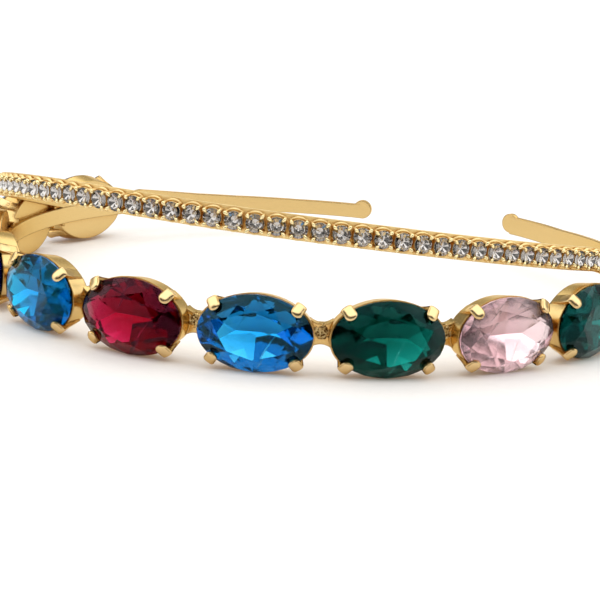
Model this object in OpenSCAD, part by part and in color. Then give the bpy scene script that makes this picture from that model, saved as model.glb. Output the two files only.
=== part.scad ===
// Jewelled double headband lying on its side, open end to the back.
// Millimetres, floor at z = 0, front of the head at -y, open ends at +y.

/* [Head curve] */
// radius of the strip over the front of the head, at half its thickness
front_r = 52.5; // [51:0.5:54]
// half angle of the front arc
front_deg = 41; // [38:1:44]
// radius of the strip over the sides
side_r = 55; // [54.5:0.1:56]
// angle of each side arc
side_deg = 84; // [82:1:86]
// radius of the strip towards the tips
end_r = 47; // [45:0.5:49]
// length of each half of the strip, from the front to the tip
half_len = 154; // [150:1:157]

/* [Lower band] */
// thickness of the lower strip
strip_t = 0.9; // [0.7:0.1:1.2]
// height of the lower strip between the oval settings
strip_h = 3; // [2.8:0.1:3.4]
// spacing of the oval settings along the strip
oval_pitch = 18.7; // [18.6:0.05:19]
// how much closer the last two settings on the right sit to the others
oval_close = 0.6; // [0:0.1:0.6]
// height of the rounded tips
tip_h = 3.6; // [3.5:0.1:3.8]

/* [Oval settings] */
// length of a setting at the rim
oval_l = 18; // [17.6:0.1:18.2]
// height of a setting at the rim
oval_h = 12.2; // [11.8:0.1:12.6]
// radius of the rounded ends of the oval
oval_end_r = 4.6; // [4.4:0.1:4.8]
// how far the rim stands out from the middle of the strip
rim_out = 3.6; // [3.55:0.05:3.9]
// thickness of the setting wall
cup_t = 0.42; // [0.38:0.02:0.5]
// how much smaller the setting is at its base, on each side
cup_inset = 0.6; // [0.5:0.1:0.9]
// width of an oval claw
claw_w = 1.7; // [1.4:0.1:1.8]
// thickness of an oval claw
claw_t = 0.6; // [0.5:0.05:0.7]

/* [Oval stones] */
// how much smaller a stone is than the rim it rests on, on each side
stone_gap = 0.14; // [0.12:0.01:0.2]
// height of the crown above the girdle
crown = 1.9; // [1.6:0.1:2]
// depth of the stone below the girdle
pavilion = 2.7; // [2.2:0.05:2.7]
// half length of the keel at its back, as a share of half the stone's length
keel = 0.35; // [0.25:0.01:0.4]
// how much deeper the middle of the keel lies than its ends
keel_dip = 0.4; // [0.2:0.05:0.5]
// size of the table as a share of the girdle
table_share = 0.62; // [0.58:0.01:0.66]

/* [Upper band] */
// height of the upper strip
row_h = 3.9; // [3.8:0.1:4.1]
// thickness of the upper strip
row_t = 0.7; // [0.6:0.05:0.8]
// height of the upper strip's middle above that of the lower one, at the front
row_rise = 17.35; // [17.15:0.1:17.85]
// how far the upper strip stands in front of the lower one
row_front = 3.5; // [3.3:0.1:3.7]
// slope of the upper band down the left side
slope_left = 0.24; // [0.236:0.002:0.242]
// slope of the upper band down the right side
slope_right = 0.163; // [0.155:0.002:0.171]
// spacing of the small stones
row_pitch = 3.15; // [3.12:0.01:3.2]
// number of small stones left of the middle one
row_left = 23; // [20:1:23]
// number of small stones right of the middle one
row_right = 27; // [24:1:27]
// diameter of a small stone
row_stone_d = 2.84; // [2.7:0.02:2.86]

/* [Hidden] */
$fn = 48;
deg = 180 / PI;
stone_colours = ["firebrick", "royalblue", "darkgreen", "midnightblue", "deepskyblue",
                 "crimson", "dodgerblue", "seagreen", "pink", "teal", "skyblue"];
gold = "gold";
// height of the lower band's middle above the floor
mid_z = oval_h / 2;
front_len = front_r * front_deg / deg;
side_len = side_r * side_deg / deg;
low = [[front_r, front_len], [side_r, side_len], [end_r, 1000]];
tip_s = half_len - tip_h / 2;
// the upper band starts with a closer curve, opens out and then meets the side arc
up_r1 = 46;
up_deg1 = 35;
side_c = arc_centre(low, 1);
gap_c = [-side_c[0], up_r1 - row_front - side_c[1]];
up_more = (gap_c * gap_c - pow(up_r1 - side_r, 2)) / 2
    / (up_r1 - side_r + gap_c[0] * sin(up_deg1) - gap_c[1] * cos(up_deg1));
up_r2 = up_r1 + up_more;
up_c2 = [-up_more * sin(up_deg1), up_r1 - row_front + up_more * cos(up_deg1)];
up_deg2 = atan2(side_c[0] - up_c2[0], up_c2[1] - side_c[1]) - up_deg1;
up = [[up_r1, up_r1 * up_deg1 / deg], [up_r2, up_r2 * up_deg2 / deg], [side_r, 1000]];
// where the upper band lands on the lower one and ends
join_y = place(low, front_len + side_len - 10)[1];
// the upper band's fall over the front, down to this depth
front_slope = 0.2;
level_y = -2;
level_z = row_rise - front_slope * (level_y + row_front);
turn_ease = 3;
// left and right side: slope, depth of a turn, slope after it, half length of the landing
// and the height it lands on
row_sides = [[slope_left, 30, slope_left, 5, 0.8], [slope_right, 52, 0.38, 2.8, 2.2]];
// the part's middle along y
back_y = place(low, half_len)[1] + 0.48;
girdle = 0.4;
seat = 0.22;
stone_z = rim_out + seat + girdle / 2;
mid_y = (back_y - stone_z - girdle / 2 - crown) / 2;

// point and heading after a length s along a chain of arcs
function walk(arcs, s, i = 0, x = 0, y = 0, t = 0) =
    let (r = arcs[i][0], step = min(s, arcs[i][1]), e = t + step / r * deg,
         nx = x + r * (sin(e) - sin(t)), ny = y + r * (cos(t) - cos(e)))
    s <= arcs[i][1] ? [nx, ny, e] : walk(arcs, s - arcs[i][1], i + 1, nx, ny, e);

// the same for either side of the front, negative lengths to the left
function place(arcs, s) =
    let (p = walk(arcs, abs(s))) s < 0 ? [-p[0], p[1], -p[2]] : p;

// length of the arcs before arc i
function before(arcs, i) = i == 0 ? 0 : arcs[i - 1][1] + before(arcs, i - 1);

// centre of arc i
function arc_centre(arcs, i) =
    let (p = walk(arcs, before(arcs, i)))
    [p[0] - arcs[i][0] * sin(p[2]), p[1] + arcs[i][0] * cos(p[2])];

// height and depth at which the upper band turns and lands, for one row of row_sides
function turn_z(q) = level_z - q[0] * (q[1] - level_y);
function land_y(q) = q[1] + (turn_z(q) - q[4]) / q[2];

// height of the upper band's middle at a depth y, side -1 for the left and 1 for the right
function row_z(y, side) =
    let (q = row_sides[side < 0 ? 0 : 1], t = q[1], e = turn_ease, l = land_y(q), s = q[3])
    y < level_y ? row_rise - front_slope * (y + row_front)
    : y < t - e ? level_z - q[0] * (y - level_y)
    : y < t + e ? level_z - q[0] * (y - level_y) - (q[2] - q[0]) * pow(y - t + e, 2) / (4 * e)
    : y < l - s ? turn_z(q) - q[2] * (y - t)
    : y < l + s ? q[4] + q[2] * pow(l + s - y, 2) / (4 * s) : q[4];

// depths at which the upper band's side outline has its corners
function row_ys(side) = let (q = row_sides[side < 0 ? 0 : 1])
    concat([-10, level_y], q[0] == q[2] ? [] : [for (i = [-4 : 2 : 4]) q[1] + i * turn_ease / 4],
           [for (i = [-4 : 4]) land_y(q) + i * q[3] / 4], [join_y - 2]);

// place of an oval setting or, at a half number, of a bar along the lower band
function oval_s(i) = i * oval_pitch - (i > 3.75 ? 1 : i > 3.25 ? 0.5 : 0) * oval_close;

// puts a thing on a band, x along the band, -y away from the head
module on_band(arcs, s, y0 = 0) {
    p = place(arcs, s);
    translate([p[0], p[1] + y0, 0]) rotate([0, 0, p[2]]) children();
}

// turns a thing drawn flat so that its z points away from the head
module facing() {
    rotate([90, 0, 0]) children();
}

// upright wall along a chain of arcs up to a length s, on both sides
module wall(arcs, s, t_in, t_out, z0, z1) {
    n = ceil(s / 2);
    function edge(i, out) = let (p = place(arcs, i * s / n))
        [p[0] + out * sin(p[2]), p[1] - out * cos(p[2])];
    translate([0, 0, z0]) linear_extrude(z1 - z0)
        polygon(concat([for (i = [-n : n]) edge(i, t_out)], [for (i = [n : -1 : -n]) edge(i, -t_in)]));
}

// block from x0 to x1 across the band with a given outline seen from the side
module side_outline(points, x0 = -80, x1 = 80) {
    translate([x0, 0, 0]) rotate([90, 0, 90]) linear_extrude(x1 - x0) polygon(points);
}

// lower strip, cut to its side outline on the left and on the right, with its rounded tips
module lower_strip() {
    h = strip_h / 2;
    y0 = join_y - 12;
    y1 = join_y - 2;
    y2 = place(low, 140)[1];
    lower_edges = [[[join_y, -h], [join_y + 9, -1.8], [y2, -2.05], [130, -2.05]],
                   [[join_y + 9, -h], [y2, -0.9], [y2 + 5.7, -0.4], [130, -0.4]]];
    upper_edges = [[[130, 0.65], [y2, 0.65], [92.5, 1], [86.5, 1.5], [80, 2.3], [y1, 2.9]],
                   [[130, 2.9], [y2 + 5.7, 2.8], [y2, 2.6], [92, 3.2], [y1, 4.3]]];
    for (i = [0, 1]) intersection() {
        wall(low, tip_s, strip_t / 2, strip_t / 2, -5, 12);
        side_outline(concat([[-10, -h]], lower_edges[i], upper_edges[i], [[y0, h], [-10, h]]),
                     i == 0 ? -80 : 0.7, i == 0 ? 0.7 : 80);
    }
    for (q = [[-tip_s, -0.28], [tip_s, 1.5]])
        on_band(low, q[0]) facing() translate([0, q[1], -strip_t / 2])
            cylinder(d = tip_h, h = strip_t);
}

// upper strip, cut to its side outline on the left and on the right
module upper_strip() {
    h = row_h / 2;
    for (side = [-1, 1]) {
        ys = row_ys(side);
        n = len(ys) - 1;
        intersection() {
            translate([0, -row_front, 0]) wall(up, 120, row_t / 2, row_t / 2, -5, 24);
            side_outline(concat([for (i = [0 : n]) [ys[i], row_z(ys[i], side) - h]],
                                [for (i = [n : -1 : 0]) [ys[i], row_z(ys[i], side) + h]]),
                         side < 0 ? -80 : 0.7, side < 0 ? 0.7 : 80);
        }
    }
}

// places along the upper band for the small stones
module each_small() {
    for (i = [-row_left : row_right]) {
        p = place(up, i * row_pitch);
        y = p[1] - row_front;
        translate([p[0], y, row_z(y, i)]) rotate([0, 0, p[2]]) facing() children();
    }
}

// round cup for a small stone with four claws
module small_cup() {
    r = row_stone_d / 2;
    difference() {
        translate([0, 0, 0.1]) cylinder(r = r + 0.03, h = 1.15, $fn = 24);
        translate([0, 0, 0.5]) cylinder(r = r - 0.11, h = 1, $fn = 24);
    }
    for (a = [45 : 90 : 315])
        rotate([0, 0, a]) translate([r + 0.26, 0, 0.1]) cylinder(r = 0.22, h = 1.6, $fn = 12);
}

// points of an oval made of four arcs, drawn in by d
function oval_side_r(a, b, e) = ((a - e) * (a - e) + b * b - e * e) / (2 * (b - e));
function oval_pt(a, b, e, d, t) =
    let (s = oval_side_r(a, b, e), k = atan2(s - b, a - e))
    abs(cos(t)) >= cos(k) ? [sign(cos(t)) * (a - e) + (e - d) * cos(t), (e - d) * sin(t)]
    : [(s - d) * cos(t), (s - d) * sin(t) - sign(sin(t)) * (s - b)];

// leaning wall round an oval, made of four arcs
module oval_wall(a, b, e, t, h, inset) {
    s = oval_side_r(a, b, e);
    k = atan2(s - b, a - e);
    for (side = [0, 180]) {
        rotate([0, 0, side]) translate([a - e, 0, 0]) rotate([0, 0, -k])
            rotate_extrude(angle = 2 * k, $fn = 96)
                polygon([[e - inset - t, 0], [e - inset, 0], [e, h], [e - t, h]]);
        rotate([0, 0, side]) translate([0, b - s, 0]) rotate([0, 0, k])
            rotate_extrude(angle = 180 - 2 * k, $fn = 120)
                polygon([[s - inset - t, 0], [s - inset, 0], [s, h], [s - t, h]]);
    }
}

// claw with a leg along the leaning wall and a rounded tip folded over the stone
module claw() {
    w = claw_w / 2;
    leg = rim_out - 0.7;
    lean = atan(cup_inset / (rim_out - 0.3)) + 7;
    corner = 0.45;
    intersection() {
        union() {
            rotate([0, lean, 0]) translate([-0.05, -w, -leg]) cube([claw_t, claw_w, leg + 0.5]);
            translate([claw_t - 0.05, 0, 0.13]) rotate([0, 40, 0]) {
                translate([-1.25, -w, 0]) cube([1.25, claw_w, claw_t]);
                translate([-1.25, 0, 0]) cylinder(d = claw_w, h = claw_t, $fn = 24);
                translate([0, w, claw_t / 2]) rotate([90, 0, 0])
                    cylinder(d = claw_t, h = claw_w, $fn = 16);
            }
        }
        // rounds the two outer corners
        translate([0, 0, -leg - 1]) linear_extrude(leg + 4)
            polygon(concat([[-3, w + 0.1], [-3, -w - 0.1], [0, -w - 0.1]],
                [for (q = [-1, 1]) for (i = [0 : 4]) let (t = q < 0 ? -90 + i * 22.5 : i * 22.5)
                    [claw_t + 0.25 - corner + corner * cos(t), q * (w - corner) + corner * sin(t)]],
                [[0, w + 0.1]]));
    }
}

// oval cup with four claws, drawn with its rim upwards
module oval_setting() {
    a = oval_l / 2;
    b = oval_h / 2;
    z0 = 0.3;
    translate([0, 0, z0]) oval_wall(a, b, oval_end_r, cup_t, rim_out - z0, cup_inset);
    translate([0, 0, z0]) linear_extrude(0.4)
        polygon([for (i = [0 : 59]) oval_pt(a, b, oval_end_r, cup_inset + cup_t / 2, i * 6)]);
    for (q = [[1, 1], [-1, 1], [-1, -1], [1, -1]]) {
        t = 57;
        p = oval_pt(a, b, oval_end_r, 0, t);
        translate([q[0] * p[0], q[1] * p[1], rim_out])
            rotate([0, 0, atan2(q[1] * sin(t), q[0] * cos(t))]) claw();
    }
}

// short bar between two settings, flared with solder at both ends
module bar() {
    h = strip_h / 2 + 0.05;
    xs = [for (i = [-4 : 4]) i * 0.44];
    facing() linear_extrude(1.7)
        polygon(concat([for (x = xs) [x, -h - 0.22 * x * x]],
                       [for (i = [8 : -1 : 0]) [xs[i], h + 0.22 * xs[i] * xs[i]]]));
}

// all the gold metal, soldered into one
module band_frame() {
    color(gold) translate([0, -mid_y, mid_z]) {
        lower_strip();
        upper_strip();
        for (i = [-5 : 5]) on_band(low, oval_s(i)) facing() oval_setting();
        for (i = [-5 : 4]) on_band(low, oval_s(i + 0.5)) bar();
        each_small() small_cup();
    }
}

// small clear stone with a table, sixteen crown facets and sixteen back facets
module small_stone() {
    n = 16;
    r = row_stone_d / 2;
    rings = [[0.56 * r, 0.5], [r, 0.06], [r, -0.06]];
    points = concat([for (g = rings) for (i = [0 : n - 1])
        [g[0] * cos(i * 360 / n), g[0] * sin(i * 360 / n), g[1]]], [[0, 0, -0.72]]);
    faces = concat([[for (i = [n - 1 : -1 : 0]) i]],
        [for (g = [0, n]) for (i = [0 : n - 1]) let (j = (i + 1) % n)
            [g + i, g + j, g + n + j, g + n + i]],
        [for (i = [0 : n - 1]) [2 * n + i, 2 * n + (i + 1) % n, 3 * n]]);
    polyhedron(points, faces);
}

module crystal_row() {
    color("white") translate([0, -mid_y, mid_z]) each_small() translate([0, 0, 1.4])
        small_stone();
}

// height at x, y of the plane through three points
function plane_z(p, q, r, x, y) =
    let (n = cross(q - p, r - p)) p[2] - (n[0] * (x - p[0]) + n[1] * (y - p[1])) / n[2];

// oval cut stone: table, stars, kites, halves, girdle and a back with a keel
module oval_cut() {
    a = oval_l / 2 - stone_gap;
    b = oval_h / 2 - stone_gap;
    c = cos(45);
    // all points first on a unit circle, then stretched to the oval
    function on(r, t, z) = [r * cos(t), r * sin(t), z];
    // points between the crown's kites
    mid_r = 0.8;
    mid_h = crown * (1 - mid_r * cos(22.5)) / (1 - table_share);
    // points between the back's main facets, set so that each facet is flat
    side = on(0.45, 67.5, keel_dip / keel * 0.45 * cos(67.5) - pavilion * (1 - 0.45 * sin(67.5)));
    tip = [keel, 0, keel_dip - pavilion];
    rise = (pavilion - keel_dip) / (1 - keel);
    far = [cos(22.5), sin(22.5)];
    zero = plane_z(tip, [c, c, 0], side, 0, 0);
    slope = plane_z(tip, [c, c, 0], side, far[0], far[1]) - zero;
    end_r = (-rise - zero) / (slope - rise * far[0]);
    end = on(end_r, 22.5, rise * (end_r * far[0] - 1));
    // the same points in all four quarters, by angle
    function low_pt(i) = let (q = [end, side, side, end, end, side, side, end][i])
        [(i > 1 && i < 6 ? -1 : 1) * q[0], (i > 3 ? -1 : 1) * q[1], q[2]];
    // the girdle dips where a half facet meets it between two corners
    function dip(m, i) = let (k = 2 * floor(i / 2))
        i % 2 == 0 ? 0 : plane_z(m, on(1, k * 11.25, 0), on(1, (k + 2) * 11.25, 0),
                                 cos(i * 11.25), sin(i * 11.25));
    points = concat(
        [for (i = [0 : 7]) on(table_share, i * 45, crown + girdle / 2)],
        [for (i = [0 : 7]) on(mid_r, i * 45 + 22.5, mid_h + girdle / 2)],
        [for (i = [0 : 31]) on(1, i * 11.25,
            girdle / 2 + dip(on(mid_r, floor(i / 4) * 45 + 22.5, mid_h), i))],
        [for (i = [0 : 31]) on(1, i * 11.25, -girdle / 2 + dip(low_pt(floor(i / 4)), i))],
        [for (i = [0 : 7]) low_pt(i) - [0, 0, girdle / 2]],
        [for (x = [-keel, keel]) [x, 0, tip[2] - girdle / 2]],
        [[0, 0, -pavilion - girdle / 2]]);
    faces = concat(
        [[for (i = [7 : -1 : 0]) i]],
        [for (i = [0 : 7]) [i, (i + 1) % 8, 8 + i]],
        [for (i = [0 : 7]) [i, 8 + i, 16 + 4 * i, 8 + (i + 7) % 8]],
        [for (i = [0 : 7]) for (h = [0, 2])
            [8 + i, 16 + (4 * i + h + 2) % 32, 16 + 4 * i + h + 1, 16 + 4 * i + h]],
        [for (i = [0 : 31]) [16 + i, 16 + (i + 1) % 32, 48 + (i + 1) % 32, 48 + i]],
        [for (i = [0 : 7]) for (h = [0, 2])
            [80 + i, 48 + 4 * i + h, 48 + 4 * i + h + 1, 48 + (4 * i + h + 2) % 32]],
        [for (i = [0, 1, 7]) [89, 80 + (i + 7) % 8, 48 + 4 * i, 80 + i]],
        [for (i = [3, 4, 5]) [88, 80 + i - 1, 48 + 4 * i, 80 + i]],
        [[90, 89, 81, 56], [88, 90, 56, 82], [90, 88, 85, 72], [89, 90, 72, 86]]);
    polyhedron([for (p = points) [a * p[0], b * p[1], p[2]]], faces);
}

module oval_stone(n) {
    color(stone_colours[n - 1]) translate([0, -mid_y, mid_z])
        on_band(low, oval_s(n - 6)) facing() translate([0, 0, stone_z]) oval_cut();
}

module oval_stone_01() { oval_stone(1); }
module oval_stone_02() { oval_stone(2); }
module oval_stone_03() { oval_stone(3); }
module oval_stone_04() { oval_stone(4); }
module oval_stone_05() { oval_stone(5); }
module oval_stone_06() { oval_stone(6); }
module oval_stone_07() { oval_stone(7); }
module oval_stone_08() { oval_stone(8); }
module oval_stone_09() { oval_stone(9); }
module oval_stone_10() { oval_stone(10); }
module oval_stone_11() { oval_stone(11); }

band_frame();
crystal_row();
oval_stone_01();
oval_stone_02();
oval_stone_03();
oval_stone_04();
oval_stone_05();
oval_stone_06();
oval_stone_07();
oval_stone_08();
oval_stone_09();
oval_stone_10();
oval_stone_11();
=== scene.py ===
# %% [markdown]
# # A jewelled double headband
# The object is a hair band of pale gold metal that lies on its side. Its lower band carries
# large oval cut stones in claw settings, its upper band a close row of small clear stones.
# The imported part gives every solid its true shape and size. This script dresses it: it gives
# each piece its finish, adds the small things a jeweller's bench leaves, and sets up a soft
# white studio. Lengths are in metres, the floor is z = 0 and the front of the head is at -y.

# %% Load the part
import bpy
import math
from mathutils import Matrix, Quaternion, Vector, noise


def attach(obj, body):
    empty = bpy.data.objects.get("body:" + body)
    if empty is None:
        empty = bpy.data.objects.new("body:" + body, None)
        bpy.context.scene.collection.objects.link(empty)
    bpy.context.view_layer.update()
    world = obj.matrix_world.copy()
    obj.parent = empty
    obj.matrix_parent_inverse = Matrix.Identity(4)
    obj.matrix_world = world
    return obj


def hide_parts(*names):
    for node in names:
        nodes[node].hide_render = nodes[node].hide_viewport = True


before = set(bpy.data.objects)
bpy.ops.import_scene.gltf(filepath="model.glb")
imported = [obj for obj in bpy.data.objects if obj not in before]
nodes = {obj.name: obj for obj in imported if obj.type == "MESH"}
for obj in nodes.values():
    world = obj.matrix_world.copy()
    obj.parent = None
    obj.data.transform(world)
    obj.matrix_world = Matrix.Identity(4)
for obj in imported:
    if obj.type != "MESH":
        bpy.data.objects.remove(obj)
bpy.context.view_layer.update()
MM = 0.001
UP = Vector((0, 0, 1))

# %% [markdown]
# ## Camera
# The picture is a close product shot with a long lens, a little above the band and turned so
# that the band runs out of the frame on both sides. The place was found by fitting the
# outlines of the stones and bands. The real shot is blurred behind its sharp plane. That blur
# belongs to the camera and not to the object, so it isn't copied.

# %% Camera
CAMERA_PLACE = Vector((174.33, -328.62, 84.18)) * MM
CAMERA_LOOK = Vector((-0.45608, 0.86175, -0.22220))
CAMERA_ROLL = 0.06049
LENS_MM, FILM_MM = 131.65, 36

camera = bpy.data.objects.new("camera", bpy.data.cameras.new("camera"))
bpy.context.collection.objects.link(camera)
camera.data.lens = LENS_MM
camera.data.sensor_width = FILM_MM
camera.data.clip_start = 0.01
camera.location = CAMERA_PLACE
camera.rotation_mode = "QUATERNION"
turn = CAMERA_LOOK.to_track_quat("-Z", "Y")
camera.rotation_quaternion = turn @ Quaternion((0, 0, 1), CAMERA_ROLL)
bpy.context.scene.camera = camera
print("camera at", [round(v, 3) for v in camera.location])

# %% [markdown]
# ## Helpers for materials
# Colours are written as sRGB hex, as on a colour chart, and one function turns them linear.
# Every shader node is added by one small function that sets its values and links its inputs.
# An input is named by its label, or by i and its number where labels repeat. The scale of a
# pattern comes from the real size of its grain: a noise of scale 1 has cells of one metre.
# The value of a noise seldom leaves 0.3 to 0.7, so that is the span that gets stretched.

# %% Material helpers
def hex_rgb(code):
    channels = [int(code[i:i + 2], 16) / 255 for i in (1, 3, 5)]
    return [c / 12.92 if c <= 0.04045 else ((c + 0.055) / 1.055) ** 2.4 for c in channels] + [1]


def add(tree, kind, settings=None, **inputs):
    node = tree.nodes.new("ShaderNode" + kind)
    for name, value in (settings or {}).items():
        setattr(node, name, value)
    for name, value in inputs.items():
        key = int(name[1:]) if name[0] == "i" and name[1:].isdigit() else name.replace("_", " ")
        if isinstance(value, bpy.types.NodeSocket):
            tree.links.new(value, node.inputs[key])
        else:
            node.inputs[key].default_value = value
    return node


def new_material(name):
    material = bpy.data.materials.new(name)
    material.use_nodes = True
    material.node_tree.nodes.clear()
    return material, material.node_tree


def grain(size_mm):
    return 1 / (size_mm * MM)


COLOUR = {"data_type": "RGBA"}
NOISE_SPAN = {"From_Min": 0.3, "From_Max": 0.7}
print("a grain of 0.4 mm is a scale of", grain(0.4))

# %% [markdown]
# ## Pale gold plating
# The metal is brass with a polished pale gold plating. The eye sees a warm mirror that is
# never quite sharp: the buffing wheel rounds every edge a little and leaves shallow waves
# about a millimetre wide and level hairlines. A real hairline is a few thousandths of a
# millimetre wide. It is drawn 0.05 mm wide and 0.7 mm long, which shows from close by and
# reads as a soft sheen from further off. Corners and hollows get a deeper colour that is
# painted shade: an occlusion node darkens them, standing in for light that bounces between
# gold walls there several times. An image of scratches could do this too, but nodes need no
# unwrapping and follow every edge by themselves. Metal that is seen along its surface turns
# white, and the specular tint keeps a little gold there.

# %% Gold
WAVES_MM, HAIR_LONG_MM = 1.11, 0.667
HAIR_SLIM = 14
ROUNDED_EDGE_MM = 0.34
CORNER_SHADE_MM = 2.4


def gold_metal(name, open_tone, corner_shade_tone, rough_low, rough_high, extra=None):
    material, tree = new_material(name)
    place = add(tree, "TexCoord").outputs["Object"]
    waves = add(tree, "TexNoise", Vector=place, Scale=grain(WAVES_MM), Detail=2.0)
    along = add(tree, "Mapping", Vector=place, Scale=(1, 1, HAIR_SLIM))
    hairs = add(tree, "TexNoise", Vector=along.outputs[0], Scale=grain(HAIR_LONG_MM), Detail=3.0)
    rounded_normal = add(tree, "Bevel", {"samples": 6}, Radius=ROUNDED_EDGE_MM * MM).outputs[0]
    bump = add(tree, "Bump", Strength=0.12, Distance=0.05 * MM, Height=waves.outputs[0], Normal=rounded_normal)
    # Painted shade: where the occlusion node finds little open air, the colour turns to the corner
    # shade tone.
    shade_ao = add(tree, "AmbientOcclusion", {"samples": 4}, Distance=CORNER_SHADE_MM * MM)
    reach = add(tree, "MapRange", Value=shade_ao.outputs["AO"], From_Min=0.15, From_Max=0.9).outputs[0]
    tone = add(tree, "Mix", COLOUR, i0=reach, i6=hex_rgb(corner_shade_tone), i7=hex_rgb(open_tone))
    rough = add(tree, "MapRange", Value=hairs.outputs[0], To_Min=rough_low, To_Max=rough_high,
                **NOISE_SPAN)
    look = {"Base_Color": tone.outputs[2], "Roughness": rough.outputs[0], "Metallic": 1.0}
    if extra:
        look = extra(tree, place, rounded_normal, reach, look)
    bsdf = add(tree, "BsdfPrincipled", Specular_Tint=hex_rgb("#FAE8C0"), Normal=bump.outputs[0],
               **look)
    add(tree, "OutputMaterial", Surface=bsdf.outputs[0])
    print("made", name)
    return material

# %% [markdown]
# ## The gold of the bands
# The upper band is stamped and less polished than the lower one, so it is duller; its gold is
# also lighter and yellower. It lies higher, so the height of a spot tells the bands apart and
# one material does for the whole solid. On the polished metal a thin darker line is painted
# along each edge: a painted reflection of the dark that a rounded mirror edge picks up. On the
# upper band it is faint. The line is found by comparing the plain normal with the rounded one
# of the bevel node, because they only differ beside an edge.

# %% Gold of the bands
UPPER_FROM_MM, UPPER_FULL_MM = 13.5, 15
UPPER_OPEN, UPPER_CORNER_SHADE, EDGE_SHADE_TONE = "#FFE8AC", "#D29C40", "#94703A"
UPPER_SHINE, UPPER_ROUGHER = 0.68, 0.2
EDGE_FROM, EDGE_FULL = 0.995, 0.86
EDGE_SHARE, UPPER_EDGE = 0.55, 0.2


def two_bands(tree, place, rounded_normal, reach, look):
    high = add(tree, "SeparateXYZ", Vector=place).outputs["Z"]
    upper = add(tree, "MapRange", Value=high, From_Min=UPPER_FROM_MM * MM,
                From_Max=UPPER_FULL_MM * MM).outputs[0]
    # Painted shade in the corners of the upper band as well.
    row_tone = add(tree, "Mix", COLOUR, i0=reach, i6=hex_rgb(UPPER_CORNER_SHADE), i7=hex_rgb(UPPER_OPEN))
    tone = add(tree, "Mix", COLOUR, i0=upper, i6=look["Base_Color"], i7=row_tone.outputs[2])
    # Painted reflection: a dark line beside each edge, where the plain and the rounded normal
    # differ.
    flat = add(tree, "NewGeometry").outputs["Normal"]
    same = add(tree, "VectorMath", {"operation": "DOT_PRODUCT"}, i0=flat, i1=rounded_normal).outputs["Value"]
    edge = add(tree, "MapRange", Value=same, From_Min=EDGE_FROM, From_Max=EDGE_FULL,
               To_Max=EDGE_SHARE)
    less = add(tree, "MapRange", Value=upper, To_Min=1.0, To_Max=UPPER_EDGE)
    line = add(tree, "Math", {"operation": "MULTIPLY"}, i0=edge.outputs[0], i1=less.outputs[0])
    edge_shaded = add(tree, "Mix", COLOUR, i0=line.outputs[0], i6=tone.outputs[2], i7=hex_rgb(EDGE_SHADE_TONE))
    dull = add(tree, "Math", {"operation": "MULTIPLY_ADD"}, i0=upper, i1=UPPER_ROUGHER,
               i2=look["Roughness"])
    shine = add(tree, "MapRange", Value=upper, To_Min=1.0, To_Max=UPPER_SHINE)
    return {"Base_Color": edge_shaded.outputs[2], "Roughness": dull.outputs[0],
            "Metallic": shine.outputs[0]}


gold = gold_metal("polished_gold_plating", "#DABC80", "#C08C42", 0.18, 0.28, two_bands)
nodes["band_frame"].data.materials.clear()
nodes["band_frame"].data.materials.append(gold)

# %% [markdown]
# ## Cut glass
# Costume stones are moulded and polished glass, coloured all through. Light goes in at the
# front, is mirrored by the silvered back and comes out again, so the colour deepens with the
# way through the glass. So the colour isn't put on the surface: it is given as what white
# light has left after 8 mm of glass, and a volume takes the rest away. The many small glints
# from deep inside a real stone are coloured too, and a tint on the surface glint stands in
# for them. Moulding leaves very shallow waves of about 4 mm in the facets.

# %% Glass
GLASS_IOR = 1.52
DEPTH = 8 * MM
MOULD_WAVES_MM = 3.85


def glass(name, after_depth):
    material, tree = new_material(name + "_glass")
    left = hex_rgb(after_depth)[:3]
    lost = [-math.log(c) / DEPTH for c in left]
    most = max(lost)
    glint = [math.sqrt(c) for c in left] + [1]
    place = add(tree, "TexCoord").outputs["Object"]
    flow = add(tree, "TexNoise", Vector=place, Scale=grain(MOULD_WAVES_MM), Detail=1.0,
               Distortion=1.5)
    bump = add(tree, "Bump", Strength=0.015, Distance=0.1 * MM, Height=flow.outputs[0])
    bsdf = add(tree, "BsdfPrincipled", Base_Color=hex_rgb("#FFFFFF"), Roughness=0.0,
               IOR=GLASS_IOR, Transmission_Weight=1.0, Specular_Tint=glint,
               Normal=bump.outputs[0])
    inside = add(tree, "VolumeAbsorption", Color=[1 - c / most for c in lost] + [1], Density=most)
    add(tree, "OutputMaterial", Surface=bsdf.outputs[0], Volume=inside.outputs[0])
    return material

# %% [markdown]
# ## Silvered backs
# The back facets carry a silver foil under lacquer. Seen through the glass it is a slightly
# hazy mirror, a little mottled where the silver took unevenly.

# %% Foil
MOTTLE_MM = 0.4


def foil(name, colour, haze):
    material, tree = new_material(name + "_foil")
    place = add(tree, "TexCoord").outputs["Object"]
    mottle = add(tree, "TexNoise", Vector=place, Scale=grain(MOTTLE_MM), Detail=2.0)
    rough = add(tree, "MapRange", Value=mottle.outputs[0], To_Min=haze, To_Max=haze * 2,
                **NOISE_SPAN)
    bsdf = add(tree, "BsdfPrincipled", Base_Color=hex_rgb(colour), Metallic=1.0,
               Roughness=rough.outputs[0])
    add(tree, "OutputMaterial", Surface=bsdf.outputs[0])
    return material

# %% [markdown]
# ## Stones with two finishes
# A stone of the part is one closed solid with one slot, but glass and foil have to meet on it.
# So each stone is copied with its mesh, and every face of the copy that looks back at the band
# gets the foil. Facets stay flat shaded: a cut edge is sharp.

# %% Dress the stones
BACK_FACING = -0.3
HEAD_MIDDLE_Y = -2 * MM


def away_from_head(point):
    return Vector((point.x, point.y - HEAD_MIDDLE_Y, 0)).normalized()


def new_object(name, mesh):
    obj = bpy.data.objects.new(name, mesh)
    bpy.context.collection.objects.link(obj)
    return obj


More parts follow.
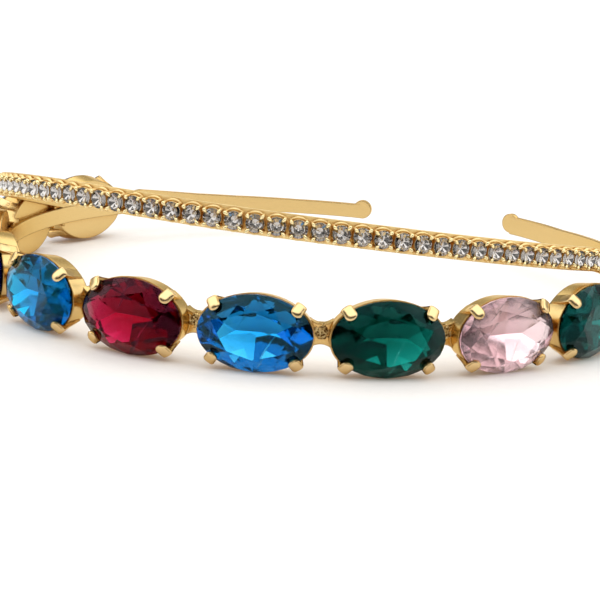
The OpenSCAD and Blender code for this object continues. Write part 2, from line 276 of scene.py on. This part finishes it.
def dress_stones(node, front, back):
    mesh = nodes[node].data.copy()
    mesh.materials.clear()
    mesh.materials.append(front)
    mesh.materials.append(back)
    for face in mesh.polygons:
        face.use_smooth = False
        behind = face.normal.dot(away_from_head(face.center)) < BACK_FACING
        face.material_index = 1 if behind else 0
    piece = new_object("cut_" + node, mesh)
    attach(piece, "root")
    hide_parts(node)
    return piece

# %% [markdown]
# ## The colours
# Each colour has its glass, the tint of its foil and the haze of the foil. Pale glass shows
# its back most, so its haze is larger. The order runs from the left of the picture to the
# right. The stones that the picture doesn't show carry the same colours on.

# %% Large and small stones
STONE_COLOURS = {
    "ruby": ("#A01236", "#F0E4E8", 0.05),
    "royal": ("#34AEE4", "#E8F0F4", 0.04),
    "emerald": ("#0A7066", "#E0F0EC", 0.05),
    "navy": ("#1C3C90", "#E0E4F0", 0.05),
    "capri": ("#04A6D6", "#E0F2FA", 0.08),
    "pink": ("#FFE8EE", "#FCF8F6", 0.12),
    "teal": ("#0C8480", "#E0F0EE", 0.05),
}
ORDER = ["ruby", "royal", "emerald", "navy", "capri", "ruby", "royal", "emerald", "pink",
         "teal", "capri"]

made = {c: (glass(c, front), foil(c, back, haze))
        for c, (front, back, haze) in STONE_COLOURS.items()}
large = [dress_stones(f"oval_stone_{n:02d}", *made[c]) for n, c in enumerate(ORDER, 1)]
small = dress_stones("crystal_row", glass("clear", "#F8F8F8"), foil("silver", "#C8C4C0", 0.05))
print(len(large), "large stones in", len(made), "colours")

# %% [markdown]
# ## Where the small stones sit
# The row is one mesh with many loose stones. Corners that share a place are grouped, and each
# group is a stone. Its middle and the normal of its most outward face, the table, say where
# the claws and walls of its cup belong, so nothing is measured twice.

# %% Places of the small stones
STEP = 0.001 * MM


def middle_of(points):
    low = Vector([min(p[i] for p in points) for i in range(3)])
    high = Vector([max(p[i] for p in points) for i in range(3)])
    return (low + high) / 2


def loose_stones(mesh):
    corners = [tuple(round(c / STEP) for c in v.co) for v in mesh.vertices]
    leader = {key: key for key in corners}

    def head(key):
        while leader[key] != key:
            key = leader[key]
        return key

    for face in mesh.polygons:
        for i in face.vertices:
            leader[head(corners[i])] = head(corners[face.vertices[0]])
    stones, tables = {}, {}
    for key in leader:
        stones.setdefault(head(key), []).append(Vector(key) * STEP)
    for face in mesh.polygons:
        key = head(corners[face.vertices[0]])
        outward = face.normal.dot(away_from_head(face.center))
        if outward > tables.get(key, (-1,))[0]:
            tables[key] = (outward, Vector((face.normal.x, face.normal.y, 0)).normalized())
    return [(middle_of(points), tables[key][1]) for key, points in stones.items()]


row = loose_stones(small.data)
print(len(row), "small stones")

# %% [markdown]
# ## Claw tips of the small stones
# Each small stone is held by four claws whose tips are pressed over it. They show as four
# bright drops round it, and their gold is paler than the band's: a painted highlight. A drop is
# a stack of rings, slimmer and lower at its end on the stone, and a little noise gives each its
# own lean and length, as pliers do. All drops go into one mesh.

# %% Claw tips
RINGS, AROUND = 8, 12
TIP_ANGLES = (45, 135, 225, 315)
TIP_FROM_MIDDLE, TIP_OUT = 1.5, 0.46
TIP_LONG, TIP_WIDE, TIP_THICK = 0.44, 0.28, 0.25
TIP_DIP, TIP_TAPER = 0.08, 0.18
UNEVEN_LEAN, UNEVEN_LONG, TIPS_APART = 0.5, 0.12, 5


def gather(name, lumps, material):
    verts, faces = [], []
    for points, quads in lumps:
        faces += [[len(verts) + i for i in quad] for quad in quads]
        verts += points
    mesh = bpy.data.meshes.new(name)
    mesh.from_pydata(verts, [], faces)
    mesh.materials.append(material)
    for face in mesh.polygons:
        face.use_smooth = True
    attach(new_object(name, mesh), "root")
    print(name, len(lumps), "pieces,", len(faces), "faces")


def claw_tip(centre, inward, out, long):
    side = out.cross(inward)
    points = []
    for i in range(RINGS + 1):
        inner = math.cos(math.pi * i / RINGS)
        full = math.sin(math.pi * i / RINGS) * (1 - TIP_TAPER * inner)
        for k in range(AROUND):
            a = 2 * math.pi * k / AROUND
            lift = TIP_THICK * full * math.sin(a) - TIP_DIP * inner
            points.append(centre + (inward * long * inner
                                    + side * TIP_WIDE * full * math.cos(a) + out * lift) * MM)
    quads = [(i * AROUND + k, i * AROUND + (k + 1) % AROUND,
              (i + 1) * AROUND + (k + 1) % AROUND, (i + 1) * AROUND + k)
             for i in range(RINGS) for k in range(AROUND)]
    return points, quads


tips = []
for centre, out in row:
    along = UP.cross(out)
    for angle in TIP_ANGLES:
        away = along * math.cos(math.radians(angle)) + UP * math.sin(math.radians(angle))
        uneven = noise.noise(centre / MM + away * TIPS_APART)
        lean = (-away + along * UNEVEN_LEAN * uneven).normalized()
        tips.append(claw_tip(centre + (away * TIP_FROM_MIDDLE + out * TIP_OUT) * MM, lean, out,
                             TIP_LONG + UNEVEN_LONG * uneven))
# The tips take a paler gold than the band: a painted highlight.
bright = gold_metal("pressed_claw_gold", "#F8E6B0", "#E0BE78", 0.16, 0.26)
gather("small_claw_tips", tips, bright)

# %% [markdown]
# ## Scalloped cup walls
# The stamped cup of a small stone stands up in a low arc above and below it. The arcs join
# from cup to cup into the scalloped border of the row. Each is a bent bar of four sides.

# %% Cup walls
ARC_STEPS, ARC_HALF = 12, 48
WALL_IN, WALL_OUT = 1.48, 1.82
WALL_LOW, WALL_HIGH, WALL_FALL = -0.95, -0.42, 0.2
ABOVE, BELOW = 90, 270


def cup_wall(centre, out, middle):
    along = UP.cross(out)
    points = []
    for k in range(ARC_STEPS + 1):
        share = 2 * k / ARC_STEPS - 1
        a = math.radians(middle + ARC_HALF * share)
        away = along * math.cos(a) + UP * math.sin(a)
        high = WALL_HIGH - WALL_FALL * abs(share)
        points += [centre + (away * r + out * h) * MM for r, h in
                   ((WALL_IN, WALL_LOW), (WALL_IN, high), (WALL_OUT, high), (WALL_OUT, WALL_LOW))]
    quads = [(4 * k + i, 4 * k + (i + 1) % 4, 4 * k + 4 + (i + 1) % 4, 4 * k + 4 + i)
             for k in range(ARC_STEPS) for i in range(4)]
    return points, quads


gather("small_cup_walls", [cup_wall(centre, out, middle) for centre, out in row
                           for middle in (ABOVE, BELOW)], gold)

# %% [markdown]
# ## Where the large settings sit
# The table of each large stone gives the middle of its setting on the strip and the way it
# faces. Between two neighbours the strip bends, so the place of the bar between them is the
# middle of the chord moved out by the height of the arc.

# %% Places of the large settings
TABLE_OUT = 6.12
SAME_PLANE = 0.9999


def setting_place(mesh):
    faces = [f for f in mesh.polygons if f.normal.dot(away_from_head(f.center)) > 0]
    flattest = max(faces, key=lambda f: f.area)
    table = [f for f in faces if f.normal.dot(flattest.normal) > SAME_PLANE]
    middle = sum((f.center * f.area for f in table), Vector()) / sum(f.area for f in table)
    return middle - flattest.normal * TABLE_OUT * MM, flattest.normal.copy()


def between(one, other):
    out = (one[1] + other[1]).normalized()
    rise = (other[0] - one[0]).length / 2 * math.tan(one[1].angle(other[1]) / 4)
    return (one[0] + other[0]) / 2 + out * rise, out


settings = [setting_place(piece.data) for piece in large]
bars = [between(a, b) for a, b in zip(settings, settings[1:])]
print("first setting at", [round(v / MM, 2) for v in settings[0][0]], "mm")

# %% [markdown]
# ## Folded claws of the large stones
# The four claws of a large setting come up the side of the cup and are pressed over the stone.
# Pressing rounds them: the tip is a soft dome and the bend has a full shoulder. A thin rounded
# skin over each claw of the part gives that, with no two pressed quite alike. Its middle line
# runs down the crown of the stone, round the shoulder and down the leg. Across that line the
# skin is domed, and its rim dips into the metal of the claw.

# %% Line of a claw
CROWN_SLOPE, LEG_SLOPE = math.radians(50), math.radians(-22)
FOLD_TIP, FOLD_SHOULDER = Vector((-0.75, 2.0)), Vector((0.782, 0.718))
BEND_R, ON_STONE, LEG_LONG = 0.35, 2.0, 2.5
BEND_STEPS, LEG_STEPS = 6, 5
UNEVEN_TIP = 0.2
TIP_SHARES = (0, 0.01, 0.04, 0.1, 0.18, 0.28, 0.4, 0.55, 0.7, 0.85, 1)


def facing(angle):
    return Vector((math.cos(angle), math.sin(angle)))


def claw_line(uneven):
    down = Vector((math.sin(CROWN_SLOPE), -math.cos(CROWN_SLOPE)))
    tip = FOLD_TIP - down * UNEVEN_TIP * uneven
    line = [(tip + down * ON_STONE * u, CROWN_SLOPE, u) for u in TIP_SHARES]
    middle = FOLD_SHOULDER - BEND_R * facing(CROWN_SLOPE)
    for k in range(1, BEND_STEPS + 1):
        a = CROWN_SLOPE + (LEG_SLOPE - CROWN_SLOPE) * k / BEND_STEPS
        line.append((middle + BEND_R * facing(a), a, 1))
    foot = line[-1][0]
    for k in range(1, LEG_STEPS + 1):
        leg = Vector((math.sin(LEG_SLOPE), -math.cos(LEG_SLOPE))) * LEG_LONG * k / LEG_STEPS
        line.append((foot + leg, LEG_SLOPE, 1))
    return line


print(len(claw_line(0)), "stations along a claw")

# %% Folded claws
ACROSS = 10
FOLD_HALF, FOLD_DOME, FOLD_SUNK = 0.93, 0.34, 0.2
DOME_POWER, ROUND_END = 2.5, 0.42
THINNER, THIN_FROM = 0.02, 12
UNEVEN_HALF, CLAWS_APART = 0.05, 3
RIM_OUT, CLAW_ALONG, CLAW_UP = 3.6, 6.43, 4.2
CLAW_TURN = math.radians(57)


def grid(rows, cols):
    return [(j * cols + i, j * cols + i + 1, (j + 1) * cols + i + 1, (j + 1) * cols + i)
            for j in range(rows - 1) for i in range(cols - 1)]


def claw_fold(root, away, out):
    side = away.cross(out)
    uneven = noise.noise(root / MM + away * CLAWS_APART)
    line = claw_line(uneven)
    points = []
    for n, (spot, slope, u) in enumerate(line):
        end = math.sqrt(1 - (1 - min(1, u / ROUND_END)) ** 2)
        half = (FOLD_HALF + UNEVEN_HALF * uneven) * end
        dome = FOLD_DOME * end - THINNER * max(0, n - THIN_FROM)
        for k in range(ACROSS + 1):
            v = 2 * k / ACROSS - 1
            lift = dome * math.sqrt(1 - abs(v) ** DOME_POWER) - FOLD_SUNK
            p = spot + lift * facing(slope)
            points.append(root + (away * p.x + out * p.y + side * half * v) * MM)
    return points, grid(len(line), ACROSS + 1)


folds = []
for middle, out in settings:
    along = UP.cross(out)
    for x, z in ((1, 1), (-1, 1), (-1, -1), (1, -1)):
        root = middle + (along * x * CLAW_ALONG + UP * z * CLAW_UP + out * RIM_OUT) * MM
        away = along * x * math.cos(CLAW_TURN) + UP * z * math.sin(CLAW_TURN)
        folds.append(claw_fold(root, away, out))
# The large claws take a paler gold than the band: a painted highlight that makes them read brighter.
pressed = gold_metal("pressed_large_claws", "#E6C892", "#D6AE70", 0.14, 0.24)
gather("large_claw_folds", folds, pressed)

# %% [markdown]
# ## Solder on the bars
# The settings are joined by short bars, and each bar carries a rough crust of solder a little
# above the middle of its face. It is metal that was melted there and never polished: gold on
# its lumps and dark brown in its pits, which are about 0.4 mm wide. The heap is a sheet lifted
# by two sizes of noise that falls under the face of the bar all round. The bars are numbered
# from the middle of the band, and the number moves the noise on, so that no two crusts are
# alike.

# %% Solder finish
PITS_MM = 0.385

solder, tree = new_material("unpolished_solder")
place = add(tree, "TexCoord").outputs["Object"]
lumps = add(tree, "TexNoise", Vector=place, Scale=grain(PITS_MM), Detail=3.0, Roughness=0.6)
pits = add(tree, "MapRange", Value=lumps.outputs[0], From_Min=0.42, From_Max=0.56).outputs[0]
tone = add(tree, "Mix", COLOUR, i0=pits, i6=hex_rgb("#5E3F1A"), i7=hex_rgb("#E6D09A"))
bump = add(tree, "Bump", Strength=0.8, Distance=0.1 * MM, Height=pits)
bsdf = add(tree, "BsdfPrincipled", Base_Color=tone.outputs[2], Metallic=1.0, Roughness=0.36,
           Normal=bump.outputs[0])
add(tree, "OutputMaterial", Surface=bsdf.outputs[0])
print("made", solder.name)

# %% Solder crusts
COLS, ROWS = 28, 24
HALF_WIDE, HALF_TALL, CRUST_UP = 1.5, 1.3, 0.4
UNDER_FACE, HEAP = 1.52, 0.3
STEEP, COARSE_EDGE, FINE_EDGE = 1.7, 0.9, 0.5
COARSE_LIFT, FINE_LIFT = 0.12, 0.1
COARSE, FINE = 5, 13
COARSE_ON, FINE_ON = 7.3, 3.1
FIRST_BAR = -5


def solder_crust(n, middle, out):
    along = UP.cross(out)
    points = []
    for j in range(ROWS + 1):
        for i in range(COLS + 1):
            u, v = 2 * i / COLS - 1, 2 * j / ROWS - 1
            coarse = noise.noise(Vector((u * COARSE, v * COARSE, n * COARSE_ON)))
            fine = noise.noise(Vector((u * FINE, v * FINE, n * FINE_ON)))
            fall = STEEP - STEEP * (u * u + v * v)
            heap = max(0, min(1, fall + COARSE_EDGE * coarse + FINE_EDGE * fine))
            lift = UNDER_FACE + heap * (HEAP + COARSE_LIFT * coarse + FINE_LIFT * fine)
            points.append(middle + (along * u * HALF_WIDE + UP * (CRUST_UP + v * HALF_TALL)
                                    + out * lift) * MM)
    return points, grid(ROWS + 1, COLS + 1)


crusts = [solder_crust(n, *bar) for n, bar in enumerate(bars, FIRST_BAR)]
gather("solder_crusts", crusts, solder)

# %% [markdown]
# ## White sheet
# The band lies on a sheet of matt white card. Its fibres are about a millimetre and a half
# apart and only just break the light. Gold throws warm light down on the card, so the real
# shadow is warm. Many bounces between small mirrors are slow to render and come out noisy, so
# the card glows very weakly in that warm tone instead, which only shows in the shadow.

# %% White sheet
SHEET_HALF = 3.0
FIBRES_MM = 1.43
GLOW_TONE, SHEET_GLOW = "#FFE7CB", 0.115

card, tree = new_material("white_sheet")
place = add(tree, "TexCoord").outputs["Object"]
fibres = add(tree, "TexNoise", Vector=place, Scale=grain(FIBRES_MM), Detail=4.0).outputs[0]
tone = add(tree, "Mix", COLOUR, i0=fibres, i6=hex_rgb("#E0DFDE"), i7=hex_rgb("#E8E7E6"))
bump = add(tree, "Bump", Strength=0.04, Distance=0.1 * MM, Height=fibres)
bsdf = add(tree, "BsdfPrincipled", Base_Color=tone.outputs[2], Roughness=0.8,
           Normal=bump.outputs[0], Emission_Color=hex_rgb(GLOW_TONE),
           Emission_Strength=SHEET_GLOW)
add(tree, "OutputMaterial", Surface=bsdf.outputs[0])

s = SHEET_HALF
sheet = bpy.data.meshes.new("studio_floor")
sheet.from_pydata([(-s, -s, 0), (s, -s, 0), (s, s, 0), (-s, s, 0)], [], [(0, 1, 2, 3)])
sheet.materials.append(card)
new_object("studio_floor", sheet)

# %% [markdown]
# ## Light
# Gold and cut stones show what is round them more than their own colour, so the light is one
# large white tent, brighter overhead, with dark parts placed in it. The room where the
# camera stands is dark, a gap above the sheet at the back is dim, and one round flag hangs
# high on the left. They draw the dark lines in the gold and the dark facets in the stones.
# Room and gap are zones of the world shader: a height times a side. Each of their borders is
# a pair, the place where the dark starts and the place where it is full.

# %% Zones of the tent
world = bpy.data.worlds.new("studio")
world.use_nodes = True
tree = world.node_tree
tree.nodes.clear()
SOFT = {"interpolation_type": "SMOOTHSTEP"}
TO_ROOM, TO_FLAG = (0.468, -0.884, 0), Vector((-0.9, 0.35, 0.5)).normalized()
GAP_DARK, FLAG_DARK = 0.7, 0.85
FLAG_FROM, FLAG_FULL = 0.93, 0.95

ray = add(tree, "TexCoord").outputs["Generated"]
height = add(tree, "SeparateXYZ", Vector=ray).outputs["Z"]
front = add(tree, "VectorMath", {"operation": "DOT_PRODUCT"}, i0=ray, i1=TO_ROOM).outputs["Value"]


def zone(low, top, side, most=1.0):
    rise = add(tree, "MapRange", SOFT, Value=height, From_Min=low[0], From_Max=low[1])
    fall = add(tree, "MapRange", SOFT, Value=height, From_Min=top[0], From_Max=top[1])
    reach = add(tree, "MapRange", SOFT, Value=front, From_Min=side[0], From_Max=side[1],
                To_Max=most)
    both = add(tree, "Math", {"operation": "MULTIPLY"}, i0=rise.outputs[0], i1=fall.outputs[0])
    return add(tree, "Math", {"operation": "MULTIPLY"}, i0=both.outputs[0],
               i1=reach.outputs[0]).outputs[0]


room = zone(low=(0.0, 0.05), top=(0.62, 0.56), side=(0.35, 0.42))
gap = zone(low=(0.12, 0.24), top=(0.62, 0.5), side=(-0.25, -0.4), most=GAP_DARK)
near_flag = add(tree, "VectorMath", {"operation": "DOT_PRODUCT"}, i0=ray, i1=TO_FLAG)
flag = add(tree, "MapRange", SOFT, Value=near_flag.outputs["Value"], From_Min=FLAG_FROM,
           From_Max=FLAG_FULL, To_Max=FLAG_DARK)
print("zones of the tent: room, gap and flag")

# %% Light of the tent
TENT_LOW, TENT_TOP, TENT_FULL = 1.0, 1.8, 0.6
DARK = "#484542"

wide = add(tree, "Math", {"operation": "MAXIMUM"}, i0=room, i1=gap)
shade = add(tree, "Math", {"operation": "MAXIMUM"}, i0=wide.outputs[0], i1=flag.outputs[0])
tent = add(tree, "MapRange", SOFT, Value=height, From_Min=0.0, From_Max=TENT_FULL,
           To_Min=TENT_LOW, To_Max=TENT_TOP)
tone = add(tree, "Mix", COLOUR, i0=shade.outputs[0], i6=tent.outputs[0], i7=hex_rgb(DARK))
back = add(tree, "Background", Color=tone.outputs[2], Strength=1.0)
add(tree, "OutputWorld", Surface=back.outputs[0])
bpy.context.scene.world = world
bpy.context.scene.view_settings.view_transform = "Standard"
print("studio ready")
